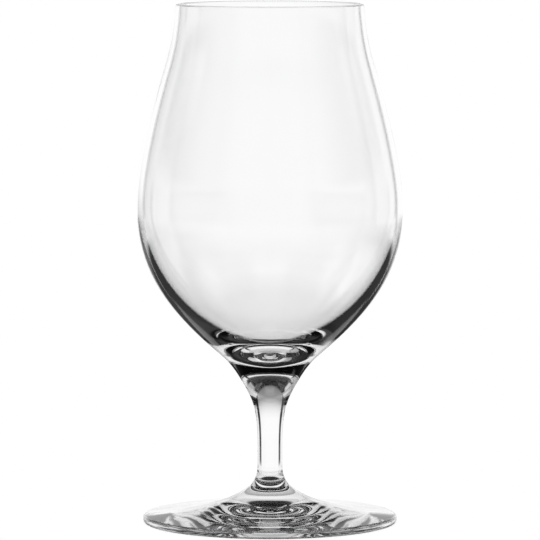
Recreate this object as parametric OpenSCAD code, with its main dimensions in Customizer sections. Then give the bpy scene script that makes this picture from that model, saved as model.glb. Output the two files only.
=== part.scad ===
// Stemmed tulip glass for beer: a blown bowl with a heavy bottom, a drawn stem and a spun foot,
// three gathers of clear glass fused end to end. Every piece turns about the Z axis, and the glass
// stands on z = 0. Lengths are in millimetres and angles in degrees. A lean is the angle between an
// outline and the vertical, positive where the outline runs outward as it climbs.

/* [Bowl outside] */
// Height of the bowl from its fused joint to the top of the lip
bowl_h = 128; // [120:0.5:140]
// Outside diameter at the lip
lip_d = 64.4; // [58:0.2:70]
// Lean of the wall at the lip
lip_lean = -4; // [-8:0.5:0]
// Outside diameter at the shoulder, where the wall leans in the most
shoulder_d = 75.4; // [71:0.2:80]
// Height of the shoulder above the bowl's joint
shoulder_h = 100.5; // [92:0.5:108]
// Lean of the wall at the shoulder
shoulder_lean = -15.5; // [-20:0.5:-10]
// Outside diameter at the belly, the widest place
belly_d = 91; // [85:0.5:96]
// Height of the belly above the bowl's joint
belly_h = 58.5; // [52:0.5:65]
// Outside diameter at the flank, where the outline turns from bulging to hollow
flank_d = 48; // [42:0.5:54]
// Height of the flank above the bowl's joint
flank_h = 14; // [11:0.5:17]
// Lean of the wall at the flank
flank_lean = 46.5; // [42:0.5:50]

/* [Bowl inside] */
// Thickness of the wall at the lip
lip_wall = 1.5; // [1:0.1:2.2]
// Thickness of the wall from the shoulder down to the belly
bowl_wall = 1.75; // [1.2:0.05:2.6]
// Thickness of the solid glass between the bowl's joint and its inside bottom
base_t = 7.6; // [6.6:0.2:11]

/* [Stem] */
// Length of the stem between its two fused joints
stem_l = 37.4; // [30:0.2:60]
// Diameter of the joint between stem and bowl
bowl_joint_d = 21; // [17:0.2:25]
// Lean of the outline at the joint between stem and bowl
bowl_joint_lean = 32; // [26:0.5:38]
// Diameter of the waist, the narrowest place
waist_d = 8.5; // [6.5:0.1:12]
// Height of the waist above the stem's joint with the foot
waist_h = 12.4; // [9:0.2:16]
// Diameter of the joint between stem and foot
foot_joint_d = 13.2; // [11:0.2:16]
// Lean of the stem's outline at its joint with the foot
foot_joint_lean = -34; // [-45:1:-20]

/* [Foot] */
// Diameter of the foot
foot_d = 87.4; // [75:0.2:100]
// Height of the foot at its joint with the stem
foot_h = 12.6; // [10:0.2:16]
// Thickness of the foot at its edge
edge_t = 2.6; // [2:0.1:4]
// Radius of the rounding on the edge of the foot
edge_round = 1.1; // [0.5:0.05:1.4]
// Lean of the foot's upper face where it meets the edge
edge_lean = -85; // [-88:0.5:-80]
// Lean of the foot's upper face where it climbs to the stem
boss_lean = -52; // [-65:1:-40]
// Width of the flat ring that the glass stands on
rest_w = 3; // [1.5:0.1:6]
// Height of the hollow under the foot, which runs out level into the ring
kick_h = 3; // [1.6:0.1:4.2]

/* [Hidden] */
$fn = 96;

// Straight runs in each curve, and in each rounding
curve_steps = 18;
lip_steps = 12;
round_steps = 6;

// How far each curve runs straight on from its two ends, as shares of the distance between them
lip_pull_shares = [0.34, 0.48];
shoulder_pull_shares = [0.27, 0.33];
belly_pull_shares = [0.375, 0.39];
flank_pull_shares = [0.43, 0.53];
// The cavity pulls less at a belly that is wide for its flank, so the wall between them stays whole
floor_belly_share = 0.948;
floor_pull_shares = [0.12, floor_belly_share * flank_d / belly_d];
stem_top_pull_shares = [0.53, 0.37];
stem_bottom_pull_shares = [0.38, 0.6];
foot_pull_shares = [0.45, 0.29];
kick_pull_shares = [0.42, 0.42];

// Leans of an upright outline and of a level one that runs outward
upright = 0;
level = 90;

// Places on the outline, as [radius, height]
stem_z = foot_h;
bowl_z = stem_z + stem_l;
foot_joint = [foot_joint_d / 2, stem_z];
waist = [waist_d / 2, stem_z + waist_h];
bowl_joint = [bowl_joint_d / 2, bowl_z];
flank = [flank_d / 2, bowl_z + flank_h];
belly = [belly_d / 2, bowl_z + belly_h];
shoulder = [shoulder_d / 2, bowl_z + shoulder_h];
lip_round = lip_wall / 2;
lip_middle = [lip_d / 2 - lip_round * cos(lip_lean), bowl_z + bowl_h - lip_round];
inner_shoulder = shoulder - bowl_wall * outward(shoulder_lean);
inner_belly = belly - bowl_wall * outward(upright);
inner_floor = [0, bowl_z + base_t];
edge_middle_r = foot_d / 2 - edge_round;
rest_inner_r = edge_middle_r - rest_w;

// Unit steps along an outline of a given lean, and square to it on its outer side
function along(lean) = [sin(lean), cos(lean)];
function outward(lean) = [cos(lean), -sin(lean)];

// Point at share t of the cubic curve with four control points
function curve_point(p, t) =
    pow(1 - t, 3) * p[0] + 3 * pow(1 - t, 2) * t * p[1] + 3 * (1 - t) * pow(t, 2) * p[2] + pow(t, 3) * p[3];

// Points of the curve from one place to another after the first, leaving and arriving at given leans
function curve(from, from_lean, to, to_lean, pull_shares) =
    let (
        reach = norm(to - from),
        leaving = from + along(from_lean) * reach * pull_shares[0],
        arriving = to - along(to_lean) * reach * pull_shares[1]
    )
    [for (i = [1 : curve_steps]) curve_point([from, leaving, arriving, to], i / curve_steps)];

// The same curve run the other way, from its far end to its first point
function curve_back(from, from_lean, to, to_lean, pull_shares) =
    let (points = curve(from, from_lean, to, to_lean, pull_shares))
    concat([for (i = [curve_steps - 2 : -1 : 0]) points[i]], [from]);

// Points of an arc about a middle, from one angle to another, both ends included
function arc(middle, radius, from_angle, to_angle, steps) =
    [for (i = [0 : steps])
        let (angle = from_angle + (to_angle - from_angle) * i / steps)
        middle + radius * [cos(angle), sin(angle)]];

lip_points = arc(lip_middle, lip_round, -lip_lean, 180 - lip_lean, lip_steps);
lip_outside = lip_points[0];
lip_inside = lip_points[lip_steps];
// The lip after its first point, where the outer wall ends
lip_outline = [for (i = [1 : lip_steps]) lip_points[i]];

// Outer wall from the joint up to the lip
bowl_outline = concat(
    [bowl_joint],
    curve(bowl_joint, bowl_joint_lean, flank, flank_lean, flank_pull_shares),
    curve(flank, flank_lean, belly, upright, belly_pull_shares),
    curve(belly, upright, shoulder, shoulder_lean, shoulder_pull_shares),
    curve(shoulder, shoulder_lean, lip_outside, lip_lean, lip_pull_shares)
);

// Inner wall from the lip down to the middle of the inside bottom
cavity_outline = concat(
    curve_back(inner_shoulder, shoulder_lean, lip_inside, lip_lean, lip_pull_shares),
    curve_back(inner_belly, upright, inner_shoulder, shoulder_lean, shoulder_pull_shares),
    curve_back(inner_floor, level, inner_belly, upright, floor_pull_shares)
);

stem_outline = concat(
    [foot_joint],
    curve(foot_joint, foot_joint_lean, waist, upright, stem_bottom_pull_shares),
    curve(waist, upright, bowl_joint, bowl_joint_lean, stem_top_pull_shares)
);

edge_points = concat(
    arc([edge_middle_r, edge_round], edge_round, -90, 0, round_steps),
    arc([edge_middle_r, edge_t - edge_round], edge_round, 0, -edge_lean, round_steps)
);

// Hollow underside, flat ring, rounded edge and upper face, from the axis outward and back
foot_outline = concat(
    curve([0, kick_h], level, [rest_inner_r, 0], level, kick_pull_shares),
    edge_points,
    curve(edge_points[len(edge_points) - 1], edge_lean, foot_joint, boss_lean, foot_pull_shares)
);

module bowl() {
    color("aliceblue", 0.35)
        rotate_extrude()
            polygon(concat([[0, bowl_z]], bowl_outline, lip_outline, cavity_outline));
}

module stem() {
    color("azure", 0.35)
        rotate_extrude()
            polygon(concat([[0, stem_z]], stem_outline, [[0, bowl_z]]));
}

module foot() {
    color("lavender", 0.35)
        rotate_extrude()
            polygon(concat([[0, kick_h]], foot_outline, [[0, foot_h]]));
}

bowl();
stem();
foot();
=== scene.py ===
"""Looks of a stemmed tulip glass: three fused gathers of clear glass in a bright studio with dark sides.

Lengths are in metres and angles in degrees. Each piece is turned again from the outline of its CAD node.
"""
import math

import bpy
import numpy as np
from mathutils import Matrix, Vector


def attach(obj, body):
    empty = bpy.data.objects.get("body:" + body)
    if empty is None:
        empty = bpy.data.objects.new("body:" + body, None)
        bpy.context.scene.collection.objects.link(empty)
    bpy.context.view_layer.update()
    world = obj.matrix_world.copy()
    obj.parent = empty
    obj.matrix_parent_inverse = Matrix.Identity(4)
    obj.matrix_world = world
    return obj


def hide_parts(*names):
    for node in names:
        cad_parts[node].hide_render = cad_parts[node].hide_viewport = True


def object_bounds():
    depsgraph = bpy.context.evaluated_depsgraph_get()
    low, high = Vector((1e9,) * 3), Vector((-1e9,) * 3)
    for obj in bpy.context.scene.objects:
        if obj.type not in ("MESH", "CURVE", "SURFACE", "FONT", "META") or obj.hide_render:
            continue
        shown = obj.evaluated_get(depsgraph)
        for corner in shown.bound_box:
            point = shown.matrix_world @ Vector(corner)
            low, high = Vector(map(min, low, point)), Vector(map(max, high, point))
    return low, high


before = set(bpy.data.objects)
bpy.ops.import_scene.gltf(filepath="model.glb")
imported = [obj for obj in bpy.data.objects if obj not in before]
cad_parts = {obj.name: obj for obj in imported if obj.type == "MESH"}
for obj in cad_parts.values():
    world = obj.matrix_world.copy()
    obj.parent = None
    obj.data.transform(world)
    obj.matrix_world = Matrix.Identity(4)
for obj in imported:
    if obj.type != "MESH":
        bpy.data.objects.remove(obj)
cad_low, cad_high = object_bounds()

# Camera, at the photograph's place and angle
CAMERA_PLACE = (0.0, -1.633, 0.232)
CAMERA_PITCH = 5.08
CAMERA_LENS_MM = 319.0
SENSOR_MM = 36.0
# Tilt that turns a new camera, which looks straight down, to look level
LEVEL_TILT = 90.0

# Turned meshes
SEGMENTS = 360
TURN_STEPS = {"bowl": 1.8, "stem": 0.6, "foot": 0.25}
MOST_STEPS = 6
SPACING_JUMP = 2.0
MERIDIAN_REACH = 1e-6
SAME_PLACE_DIGITS = 8
STRAIGHT_WITHIN = 3e-7
# Material slots of each piece
GLASS_SLOT = 0
JOINT_SLOT = 1

# Glass
GLASS_IOR = 1.52
# Octaves of finer noise in its waves, tints and polish
PATCH_DETAIL = 1.0
# Two tints of the clear glass, which drift into each other
CLEAR_TINT = (0.988, 0.989, 0.988, 1.0)
DEEP_TINT = (0.981, 0.985, 0.983, 1.0)
TINT_PATCH = 0.045
# Worked glass has faint waves, drawn out upward where the gather was drawn out
WAVE_SIZES = {"bowl": 0.018, "stem": 0.008, "foot": 0.014}
WAVE_HEIGHTS = {"bowl": 3e-5, "stem": 1e-5, "foot": 5e-5}
WAVE_DRAWS = {"bowl": 0.6, "stem": 0.25, "foot": 1.0}
# Fire polish is a little duller in patches
POLISH_PATCH = 0.02
POLISH_STARTS = 0.5
DULLEST = 0.04
# Light that runs round inside the lip takes hundreds of bounces to leave it
GLASS_BOUNCES = 400

WHITE = (1.0, 1.0, 1.0, 1.0)

# Floor
FLOOR_RADIUS = 0.07
FLOOR_SIDES = 96
FLOOR_ALBEDO = 0.8
# Its own glow as the camera sees it, and the world's light on it
FLOOR_GLOW = 0.84
FLOOR_SKY = 0.25

# Soft boxes beside the glass
BOX_SIZE = 0.36
BOX_DISTANCE = 0.62
BOX_ANGLE = 80.0
BOX_LIFT = 28.0
BOX_RADIANCES = {"left": 0.15, "right": 0.12}

# Panels of light round the glass, as the glass sees them. Azimuth 0 is straight behind it, and right of that
# is positive. A panel has a middle, half width and softness in azimuth, the same in elevation, and a level.
HALF_TURN = 180.0
ALL_ROUND = (0.0, HALF_TURN, 1.0)
LEFT_CARD = ((-59.0, 22.0, 1.5), (3.0, 20.0, 4.0))
PALE_FLOOR = (ALL_ROUND, (-53.0, 44.0, 3.0), 0.94)
# Level between the panels
UNLIT = 0.012
# What shows in light that has only gone through the glass, and through no more than two walls
SEEN_THROUGH = {
    "backdrop": ((0.0, 34.0, 2.5), (-7.5, 27.5, 20.0), 1.0),
    "backdrop_top": ((0.0, 34.0, 2.5), (20.0, 25.0, 4.0), 0.3),
    "surround": ((180.0, 132.5, 2.5), (-2.0, 22.0, 8.0), 0.95),
    "floor": PALE_FLOOR,
}
# What dims that light where it has crossed a fused joint
JOINT_SHADES = {"below": ((0.0, 60.0, 10.0), (-62.0, 26.0, 4.0), 0.97)}
# What shows in all other light
REFLECTED = {
    "backdrop": ((0.0, 33.5, 2.5), (-6.0, 17.0, 3.0), 1.0),
    "backdrop_middle": ((0.0, 33.5, 2.5), (0.0, 17.0, 3.0), 0.75),
    "left_card": (*LEFT_CARD, 1.0),
    "right_card": ((56.5, 17.5, 2.0), (4.0, 18.0, 4.0), 1.0),
    "left_side": ((-110.0, 30.0, 12.0), (10.0, 20.0, 8.0), 0.45),
    "right_side": ((110.0, 35.0, 12.0), (10.0, 20.0, 8.0), 0.8),
    "left_box": ((-90.0, 12.0, 4.0), (37.0, 12.0, 4.0), 0.7),
    "right_box": ((88.0, 12.0, 4.0), (37.0, 12.0, 4.0), 0.5),
    "front": ((180.0, 50.0, 25.0), (0.0, 36.0, 15.0), 0.8),
    "floor": PALE_FLOOR,
}
# What dims that light, and how much less these shades take from light reflected twice
REFLECTED_SHADES = {
    "table": ((-10.0, 108.0, 25.0), (-57.0, 44.5, 3.0), 0.97),
    "below": (ALL_ROUND, (-70.0, 30.0, 6.0), 0.985),
}
TWICE_LESS = 0.7
# What also shows in light reflected outside the glass, and what dims it
OUTSIDE = {
    "near_table": ((0.0, 30.0, 3.0), (-32.0, 7.0, 2.0), 0.6),
    "right_table": ((76.0, 18.0, 6.0), (-35.0, 14.0, 5.0), 0.9),
    "front_floor": ((180.0, 95.0, 20.0), (-47.0, 10.0, 5.0), 0.85),
}
OUTSIDE_SHADES = {
    "left_edge": ((-26.0, 12.0, 4.0), (-8.0, 5.0, 3.0), 0.75),
    "right_edge": ((24.0, 8.0, 4.0), (-10.0, 3.0, 2.0), 0.4),
}
# What also shows in light reflected once inside the glass
ONCE_INSIDE = {
    "far_table": ((0.0, 42.0, 4.0), (-12.0, 4.5, 2.0), 1.0),
    "right_table": ((74.0, 20.0, 6.0), (-37.0, 15.0, 5.0), 0.9),
    "left_table": ((-68.0, 14.0, 6.0), (-31.0, 11.0, 5.0), 0.5),
    "left_high": ((-54.0, 16.0, 5.0), (28.0, 10.0, 5.0), 0.8),
    "front_top": ((180.0, 30.0, 12.0), (58.0, 12.0, 5.0), 0.7),
    "front_floor": ((180.0, 95.0, 20.0), (-48.0, 10.0, 5.0), 0.85),
}
# What dims light that the glass has reflected only a few times, often, or many times
FEW_SHADES = {"left_card": (*LEFT_CARD, 0.45)}
OFTEN_SHADES = {
    "sides": ((180.0, 108.0, 3.0), (10.0, 50.0, 10.0), 0.93),
    "above": ((0.0, 80.0, 5.0), (46.0, 29.0, 3.0), 0.9),
    "behind": ((0.0, 34.0, 3.0), (40.0, 30.0, 3.0), 0.9),
}
MANY_SHADES = {"right_card": ((68.0, 10.0, 2.0), (-7.0, 18.0, 2.0), 0.9)}
# Light that has run round inside a rim comes from everywhere
EVEN_LEVEL = 0.85
# Counts of surfaces passed, and of reflections, that part these kinds of light, halfway between whole ones
NO_WALL = 0.5
TWO_WALLS = 4.5
FEW = 2.5
OFTEN = 3.5
MANY = 5.5
ENDLESS = 60.5
# Counts that are nearer to each other than this are the same
SAME_COUNT = 0.5
# Light that runs down more steeply than this sees the floor, whatever it has gone through
STEEP = -30.0


def meridian(node):
    """Outline of a turned CAD node from one end to the other, as rows of radius and height."""
    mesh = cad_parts[node].data
    points = np.array([v.co for v in mesh.vertices])
    on_plane = (np.abs(points[:, 1]) < MERIDIAN_REACH) & (points[:, 0] > -MERIDIAN_REACH)
    names = {}
    places = []
    for i in np.flatnonzero(on_plane):
        key = (round(points[i, 0], SAME_PLACE_DIGITS), round(points[i, 2], SAME_PLACE_DIGITS))
        if key not in names.values():
            places.append(key)
        names[i] = key
    links = {place: set() for place in places}
    for a, b in (edge.vertices for edge in mesh.edges):
        if a in names and b in names and names[a] != names[b]:
            links[names[a]].add(names[b])
            links[names[b]].add(names[a])
    ends = sorted((place for place in places if len(links[place]) == 1), key=lambda place: place[1])
    path = [ends[0]]
    while True:
        onward = [place for place in links[path[-1]] if place not in path]
        if not onward:
            return without_straight_points(np.array(path))
        path.append(onward[0])


def without_straight_points(path):
    """The outline without the points that only divide a straight run."""
    kept = [path[0]]
    for here, after in zip(path[1:], path[2:]):
        along = (after - kept[-1]) / np.linalg.norm(after - kept[-1])
        aside = (here - kept[-1])[0] * along[1] - (here - kept[-1])[1] * along[0]
        if abs(aside) > STRAIGHT_WITHIN:
            kept.append(here)
    return np.array(kept + [path[-1]])


def end_tangent(a, b, c):
    """Unit tangent at a of the curve through three points that follow each other."""
    if a[0] < MERIDIAN_REACH:
        return np.array([1.0, 0.0])
    h1, h2 = np.linalg.norm(b - a), np.linalg.norm(c - b)
    s1, s2 = (b - a) / h1, (c - b) / h2
    tangent = 2 * s1 - (s1 * h2 + s2 * h1) / (h1 + h2)
    return tangent / np.linalg.norm(tangent)


def spline_tangents(path):
    """Tangents of smooth curves through the outline, which meet where the spacing of its points jumps."""
    lengths = np.linalg.norm(np.diff(path, axis=0), axis=1)
    last = len(path) - 1
    tangents = np.zeros_like(path)
    tangents[0] = end_tangent(path[0], path[1], path[2])
    tangents[last] = -end_tangent(path[last], path[last - 1], path[last - 2])
    breaks = [0]
    for i in range(1, last):
        if lengths[i - 1] > SPACING_JUMP * lengths[i]:
            tangents[i] = end_tangent(path[i], path[i + 1], path[i + 2])
            breaks.append(i)
        elif lengths[i] > SPACING_JUMP * lengths[i - 1]:
            tangents[i] = -end_tangent(path[i], path[i - 1], path[i - 2])
            breaks.append(i)
    for first, final in zip(breaks, breaks[1:] + [last]):
        inside = final - first - 1
        if inside < 1:
            continue
        h = lengths[first:final]
        slopes = np.diff(path[first:final + 1], axis=0) / h[:, None]
        matrix = np.diag(2 * (h[:-1] + h[1:]))
        matrix += np.diag(h[2:], -1) + np.diag(h[:-2], 1) if inside > 1 else 0
        known = 3 * (h[1:, None] * slopes[:-1] + h[:-1, None] * slopes[1:])
        known[0] -= h[1] * tangents[first]
        known[-1] -= h[-2] * tangents[final]
        tangents[first + 1:final] = np.linalg.solve(matrix, known)
    return tangents


def refined(path, turn_step):
    """The outline with rounder curves, and its tangents: a straight run that turns becomes several."""
    lengths = np.linalg.norm(np.diff(path, axis=0), axis=1)
    tangents = spline_tangents(path)
    points, directions = [path[0]], [tangents[0]]
    for i, h in enumerate(lengths):
        turn = abs(math.atan2(np.linalg.det(tangents[i:i + 2]), tangents[i] @ tangents[i + 1]))
        steps = min(MOST_STEPS, max(1, math.ceil(math.degrees(turn) / turn_step)))
        for step in range(1, steps + 1):
            t = step / steps
            points.append((2 * t**3 - 3 * t**2 + 1) * path[i] + (3 * t**2 - 2 * t**3) * path[i + 1]
                          + (t**3 - 2 * t**2 + t) * h * tangents[i] + (t**3 - t**2) * h * tangents[i + 1])
            directions.append((6 * t - 6 * t**2) * (path[i + 1] - path[i]) / h
                              + (3 * t**2 - 4 * t + 1) * tangents[i] + (3 * t**2 - 2 * t) * tangents[i + 1])
    directions = np.array(directions)
    directions /= np.linalg.norm(directions, axis=1)[:, None]
    return np.clip(points, path.min(0), path.max(0)), directions


def turned(name, node):
    """A closed mesh, a node's outline turned about the axis. Faces in a fused joint get their own slot."""
    outline, directions = refined(meridian(node), TURN_STEPS[node])
    angles = np.arange(SEGMENTS) * (2 * math.pi / SEGMENTS)
    verts, normals, rings = [], [], []
    for (r, z), (along_r, along_z) in zip(outline, directions):
        if r < MERIDIAN_REACH:
            rings.append([len(verts)])
            verts.append((0.0, 0.0, z))
            normals.append((0.0, 0.0, -along_r))
        else:
            rings.append(list(range(len(verts), len(verts) + SEGMENTS)))
            verts.extend((r * math.cos(a), r * math.sin(a), z) for a in angles)
            normals.extend((along_z * math.cos(a), along_z * math.sin(a), -along_r) for a in angles)
    faces, slots = [], []
    for below, above in zip(rings, rings[1:]):
        for i in range(SEGMENTS):
            j = (i + 1) % SEGMENTS
            if len(below) == 1:
                faces.append((below[0], above[j], above[i]))
            elif len(above) == 1:
                faces.append((below[i], below[j], above[0]))
            else:
                faces.append((below[i], below[j], above[j], above[i]))
            slots.append(GLASS_SLOT)
    corner_normals = [normals[v] for face in faces for v in face]
    for ring, turn in ((rings[0], -1), (rings[-1], 1)):
        if len(ring) > 1:
            faces.append(tuple(ring[::turn]))
            slots.append(JOINT_SLOT)
            corner_normals.extend([(0.0, 0.0, turn)] * SEGMENTS)
    mesh = bpy.data.meshes.new(name)
    mesh.from_pydata(verts, [], faces)
    mesh.polygons.foreach_set("material_index", slots)
    mesh.polygons.foreach_set("use_smooth", [True] * len(faces))
    mesh.normals_split_custom_set(corner_normals)
    mesh.update()
    piece = bpy.data.objects.new(name, mesh)
    bpy.context.scene.collection.objects.link(piece)
    return piece


def new_material(name):
    """A material with an empty node tree."""
    material = bpy.data.materials.new(name)
    material.use_nodes = True
    material.node_tree.nodes.clear()
    return material


def patches(tree, size, place):
    """Soft noise with patches of a given size."""
    noise = tree.nodes.new("ShaderNodeTexNoise")
    noise.inputs["Scale"].default_value = 1 / size
    noise.inputs["Detail"].default_value = PATCH_DETAIL
    tree.links.new(place, noise.inputs["Vector"])
    return noise.outputs["Fac"]


def clear_glass(node):
    """Clear glass that was worked hot: faint waves in its surface, and drifts of tint and polish."""
    material = new_material(f"clear_{node}")
    tree = material.node_tree
    nodes, links = tree.nodes, tree.links
    place = nodes.new("ShaderNodeTexCoord").outputs["Object"]
    drawn = nodes.new("ShaderNodeMapping")
    drawn.inputs["Scale"].default_value = (1.0, 1.0, WAVE_DRAWS[node])
    links.new(place, drawn.inputs["Vector"])
    waves = nodes.new("ShaderNodeBump")
    waves.inputs["Distance"].default_value = WAVE_HEIGHTS[node]
    links.new(patches(tree, WAVE_SIZES[node], drawn.outputs["Vector"]), waves.inputs["Height"])
    tint = nodes.new("ShaderNodeMix")
    tint.data_type = "RGBA"
    tint.inputs["A"].default_value = CLEAR_TINT
    tint.inputs["B"].default_value = DEEP_TINT
    links.new(patches(tree, TINT_PATCH, place), tint.inputs["Factor"])
    dull = nodes.new("ShaderNodeMapRange")
    dull.inputs["From Min"].default_value = POLISH_STARTS
    dull.inputs["To Max"].default_value = DULLEST
    links.new(patches(tree, POLISH_PATCH, place), dull.inputs["Value"])
    shader = nodes.new("ShaderNodeBsdfPrincipled")
    links.new(tint.outputs["Result"], shader.inputs["Base Color"])
    links.new(dull.outputs["Result"], shader.inputs["Roughness"])
    links.new(waves.outputs["Normal"], shader.inputs["Normal"])
    shader.inputs["IOR"].default_value = GLASS_IOR
    shader.inputs["Transmission Weight"].default_value = 1.0
    output = nodes.new("ShaderNodeOutputMaterial")
    links.new(shader.outputs["BSDF"], output.inputs["Surface"])
    return material


def fused_glass(name):
    """Inside a fused joint light goes straight on, because the glass is one body there."""
    material = new_material(name)
    nodes, links = material.node_tree.nodes, material.node_tree.links
    shader = nodes.new("ShaderNodeBsdfTransparent")
    output = nodes.new("ShaderNodeOutputMaterial")
    links.new(shader.outputs["BSDF"], output.inputs["Surface"])
    return material


def floor_material():
    """Pale floor that keeps a soft shadow and shows white to the camera."""
    material = new_material("pale_floor")
    nodes, links = material.node_tree.nodes, material.node_tree.links
    path = nodes.new("ShaderNodeLightPath")
    strength = nodes.new("ShaderNodeMath")
    strength.operation = "MULTIPLY"
    strength.inputs[1].default_value = FLOOR_GLOW
    links.new(path.outputs["Is Camera Ray"], strength.inputs[0])
    glow = nodes.new("ShaderNodeEmission")
    glow.inputs["Color"].default_value = WHITE
    links.new(strength.outputs[0], glow.inputs["Strength"])
    diffuse = nodes.new("ShaderNodeBsdfDiffuse")
    diffuse.inputs["Color"].default_value = (FLOOR_ALBEDO, FLOOR_ALBEDO, FLOOR_ALBEDO, 1.0)
    both = nodes.new("ShaderNodeAddShader")
    links.new(glow.outputs["Emission"], both.inputs[0])
    links.new(diffuse.outputs["BSDF"], both.inputs[1])
    output = nodes.new("ShaderNodeOutputMaterial")
    links.new(both.outputs["Shader"], output.inputs["Surface"])
    return material


class WorldNodes:
    """Short calls for the sums in the world's shader."""

    def __init__(self, tree):
        self.nodes, self.links = tree.nodes, tree.links

    def put(self, value, socket):
        """Sets a socket to a number, or links another socket to it."""
        if isinstance(value, (int, float)):
            socket.default_value = value
        else:
            self.links.new(value, socket)

    def math(self, operation, *values):
        """The result of one operation on numbers or sockets."""
        node = self.nodes.new("ShaderNodeMath")
        node.operation = operation
        for value, socket in zip(values, node.inputs):
            self.put(value, socket)
        return node.outputs[0]

    def ramp(self, value, start, end):
        """Runs smoothly from 0 at start to 1 at end."""
        node = self.nodes.new("ShaderNodeMapRange")
        node.interpolation_type = "SMOOTHSTEP"
        self.put(value, node.inputs["Value"])
        self.put(start, node.inputs["From Min"])
        self.put(end, node.inputs["From Max"])
        return node.outputs["Result"]

    def window(self, value, span):
        """1 within a span given by its middle, half width and softness, and 0 well outside it."""
        middle, half, soft = span
        away = self.math("WRAP", self.math("SUBTRACT", value, middle), HALF_TURN, -HALF_TURN)
        return self.ramp(self.math("ABSOLUTE", away), half + soft, half - soft)

    def level(self, direction, panel):
        """A panel's level inside its spans of azimuth and elevation, and 0 outside them."""
        turn, rise = direction
        across, up, level = panel
        inside = self.math("MULTIPLY", self.window(turn, across), self.window(rise, up))
        return self.math("MULTIPLY", inside, level)

    def lit(self, direction, panels):
        """The brightest of the panels in a direction."""
        light = UNLIT
        for panel in panels.values():
            light = self.math("MAXIMUM", light, self.level(direction, panel))
        return light

    def shaded(self, light, direction, shades, share):
        """Light less what the shades take away, as far as a share says."""
        for shade in shades.values():
            taken = self.math("MULTIPLY", share, self.level(direction, shade))
            light = self.math("MULTIPLY", light, self.math("SUBTRACT", 1.0, taken))
        return light

    def blend(self, first, second, share):
        """The first value where the share is 0 and the second where it is 1."""
        step = self.math("SUBTRACT", second, first)
        return self.math("ADD", first, self.math("MULTIPLY", share, step))


def reflected_light(w, path, direction):
    """What reflected light shows, by how often it was reflected and whether outside or inside the glass."""
    times = path.outputs["Glossy Depth"]
    twice = w.math("COMPARE", times, 2.0, SAME_COUNT)
    share = w.math("SUBTRACT", 1.0, w.math("MULTIPLY", twice, TWICE_LESS))
    light = w.shaded(w.lit(direction, REFLECTED), direction, REFLECTED_SHADES, share)
    outside = w.math("LESS_THAN", path.outputs["Transmission Depth"], NO_WALL)
    light = w.math("MAXIMUM", light, w.math("MULTIPLY", outside, w.lit(direction, OUTSIDE)))
    light = w.shaded(light, direction, OUTSIDE_SHADES, outside)
    once = w.math("COMPARE", times, 1.0, SAME_COUNT)
    once_inside = w.math("MULTIPLY", once, w.math("SUBTRACT", 1.0, outside))
    light = w.math("MAXIMUM", light, w.math("MULTIPLY", once_inside, w.lit(direction, ONCE_INSIDE)))
    light = w.shaded(light, direction, FEW_SHADES, w.math("LESS_THAN", times, FEW))
    light = w.shaded(light, direction, OFTEN_SHADES, w.math("GREATER_THAN", times, OFTEN))
    light = w.shaded(light, direction, MANY_SHADES, w.math("GREATER_THAN", times, MANY))
    endless = w.math("GREATER_THAN", times, ENDLESS)
    return w.math("MAXIMUM", light, w.math("MULTIPLY", endless, EVEN_LEVEL))


def make_world():
    """White to the camera. To the glass: panels of light with dark gaps between them."""
    world = bpy.data.worlds.new("studio")
    world.use_nodes = True
    tree = world.node_tree
    tree.nodes.clear()
    w = WorldNodes(tree)
    where = tree.nodes.new("ShaderNodeTexCoord")
    split = tree.nodes.new("ShaderNodeSeparateXYZ")
    tree.links.new(where.outputs["Generated"], split.inputs[0])
    x, y, z = split.outputs
    turn = w.math("DEGREES", w.math("ARCTAN2", x, y))
    rise = w.math("DEGREES", w.math("ARCSINE", z))
    direction = (turn, rise)
    path = tree.nodes.new("ShaderNodeLightPath")
    crossed = w.math("MINIMUM", path.outputs["Transparent Depth"], 1.0)
    seen = w.shaded(w.lit(direction, SEEN_THROUGH), direction, JOINT_SHADES, crossed)
    turned_back = w.math("MINIMUM", path.outputs["Glossy Depth"], 1.0)
    many_walls = w.math("GREATER_THAN", path.outputs["Transmission Depth"], TWO_WALLS)
    many_walls = w.math("MULTIPLY", many_walls, w.math("GREATER_THAN", rise, STEEP))
    other = w.math("MAXIMUM", turned_back, many_walls)
    studio = w.blend(seen, reflected_light(w, path, direction), other)
    for_floor = w.math("MULTIPLY", path.outputs["Is Diffuse Ray"], FLOOR_SKY)
    shown = w.math("MAXIMUM", path.outputs["Is Camera Ray"], for_floor)
    through = w.math("MAXIMUM", path.outputs["Is Glossy Ray"], path.outputs["Is Transmission Ray"])
    strength = w.math("MAXIMUM", shown, w.math("MULTIPLY", through, studio))
    background = tree.nodes.new("ShaderNodeBackground")
    background.inputs["Color"].default_value = WHITE
    tree.links.new(strength, background.inputs["Strength"])
    output = tree.nodes.new("ShaderNodeOutputWorld")
    tree.links.new(background.outputs["Background"], output.inputs["Surface"])
    bpy.context.scene.world = world


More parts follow.
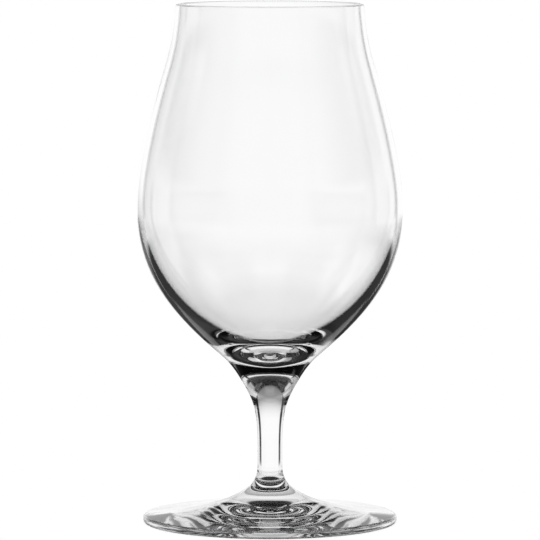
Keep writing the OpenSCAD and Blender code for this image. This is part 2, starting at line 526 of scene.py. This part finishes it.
def make_floor():
    """A round pale floor under the glass, which the glass itself doesn't show."""
    angles = np.arange(FLOOR_SIDES) * (2 * math.pi / FLOOR_SIDES)
    mesh = bpy.data.meshes.new("floor")
    rim = [(FLOOR_RADIUS * math.cos(a), FLOOR_RADIUS * math.sin(a), 0.0) for a in angles]
    mesh.from_pydata(rim, [], [tuple(range(FLOOR_SIDES))])
    mesh.materials.append(floor_material())
    floor = bpy.data.objects.new("floor", mesh)
    floor.location.z = cad_low.z
    floor.visible_glossy = False
    floor.visible_transmission = False
    bpy.context.scene.collection.objects.link(floor)


def make_soft_box(side, direction):
    """A square lamp beside the glass that lights the floor. The glass shows the world's panels instead."""
    light = bpy.data.lights.new(f"soft_box_{side}", "AREA")
    light.shape = "SQUARE"
    light.size = BOX_SIZE
    light.energy = BOX_RADIANCES[side] * math.pi * BOX_SIZE**2
    box = bpy.data.objects.new(light.name, light)
    turn, lift = math.radians(BOX_ANGLE), math.radians(BOX_LIFT)
    middle = (cad_low + cad_high) / 2
    away = Vector((direction * math.sin(turn), math.cos(turn), math.tan(lift))).normalized()
    box.location = middle + away * BOX_DISTANCE
    box.rotation_mode = "QUATERNION"
    box.rotation_quaternion = (box.location - middle).to_track_quat("Z", "Y")
    box.visible_camera = False
    box.visible_glossy = False
    box.visible_transmission = False
    bpy.context.scene.collection.objects.link(box)


def make_camera():
    """A long lens in front of the glass and a little above its lip, pitched down."""
    lens = bpy.data.cameras.new("camera")
    lens.sensor_width = SENSOR_MM
    lens.lens = CAMERA_LENS_MM
    camera = bpy.data.objects.new("camera", lens)
    camera.location = CAMERA_PLACE
    camera.rotation_euler = (math.radians(LEVEL_TILT - CAMERA_PITCH), 0, 0)
    bpy.context.scene.collection.objects.link(camera)
    bpy.context.scene.camera = camera


def make_glass():
    """The three gathers, each in place of its CAD node."""
    fused = fused_glass("fused_joint")
    for node in ("bowl", "stem", "foot"):
        piece = turned(f"glass_{node}", node)
        piece.data.materials.append(clear_glass(node))
        piece.data.materials.append(fused)
        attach(piece, "root")
        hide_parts(node)


scene = bpy.context.scene
scene.view_settings.view_transform = "Standard"
scene.cycles.max_bounces = GLASS_BOUNCES
scene.cycles.transmission_bounces = GLASS_BOUNCES
scene.cycles.glossy_bounces = GLASS_BOUNCES
scene.cycles.transparent_max_bounces = GLASS_BOUNCES

make_camera()
make_world()
make_floor()
make_soft_box("left", -1)
make_soft_box("right", 1)
make_glass()

bpy.context.view_layer.update()
